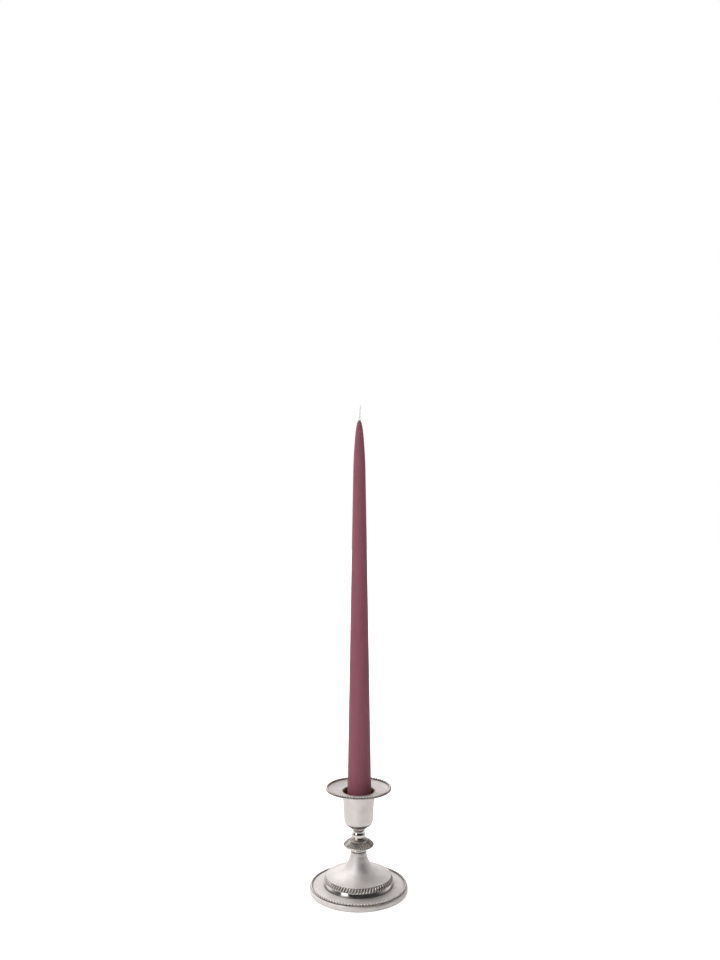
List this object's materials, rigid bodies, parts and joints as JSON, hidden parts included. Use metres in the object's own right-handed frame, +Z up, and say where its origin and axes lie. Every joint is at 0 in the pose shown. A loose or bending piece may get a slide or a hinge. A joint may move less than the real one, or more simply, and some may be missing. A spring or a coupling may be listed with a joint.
{
  "type": "candlestick",
  "caption": "Low silver-plated candlestick: beaded foot, slanted-flute band and knop, a cup with a lift-out beaded drip pan, and a long plain taper candle.",
  "frame": {"origin": "centre of the felt under the foot, on the surface that the candlestick stands on", "axes": "+Z up along the turning axis of the stick and the candle; X and Y level, the wick leans slightly towards +X"},
  "size_m": [0.0924, 0.0924, 0.458],
  "materials": {
    "silver_satin": "satin silver plate over brass sheet",
    "silver_polished": "mirror-polished silver plate",
    "brass_sleeve": "unplated, tarnished brass",
    "steel_fixings": "zinc-plated steel",
    "iron_ballast": "as cast",
    "steel_cover": "pressed sheet",
    "felt": "dark wool felt",
    "wax": "smooth dipped candle wax, plum",
    "wick": "braided cotton, waxed"
  },
  "bodies": {
    "stick": {"felt_pad": "felt", "base_cover": "steel_cover", "ballast_disc": "iron_ballast", "foot_plate": "silver_satin", "foot_bead_border": "silver_polished", "step_ring": "silver_polished", "fluted_band": "silver_polished", "pedestal": "silver_satin", "pedestal_collar": "silver_polished", "knop_base": "silver_polished", "knop_cap": "silver_polished", "neck_ring": "silver_polished", "cup_mount": "silver_polished", "socket_cup": "silver_satin", "tie_rod": "steel_fixings", "base_nut": "steel_fixings", "base_washer": "steel_fixings", "cup_nut": "steel_fixings", "cup_washer": "steel_fixings"},
    "nozzle": {"nozzle_sleeve": "brass_sleeve", "drip_pan": "silver_satin", "pan_bead_border": "silver_polished"},
    "candle": {"candle_wax": "wax", "candle_wick": "wick"}
  },
  "joints": [
    {"name": "nozzle_lift", "type": "slide", "parent": "stick", "child": "nozzle", "axis": [0, 0, 1], "range_m": [0, 0.04]},
    {"name": "candle_lift", "type": "slide", "parent": "nozzle", "child": "candle", "axis": [0, 0, 1], "range_m": [0, 0.045]}
  ]
}
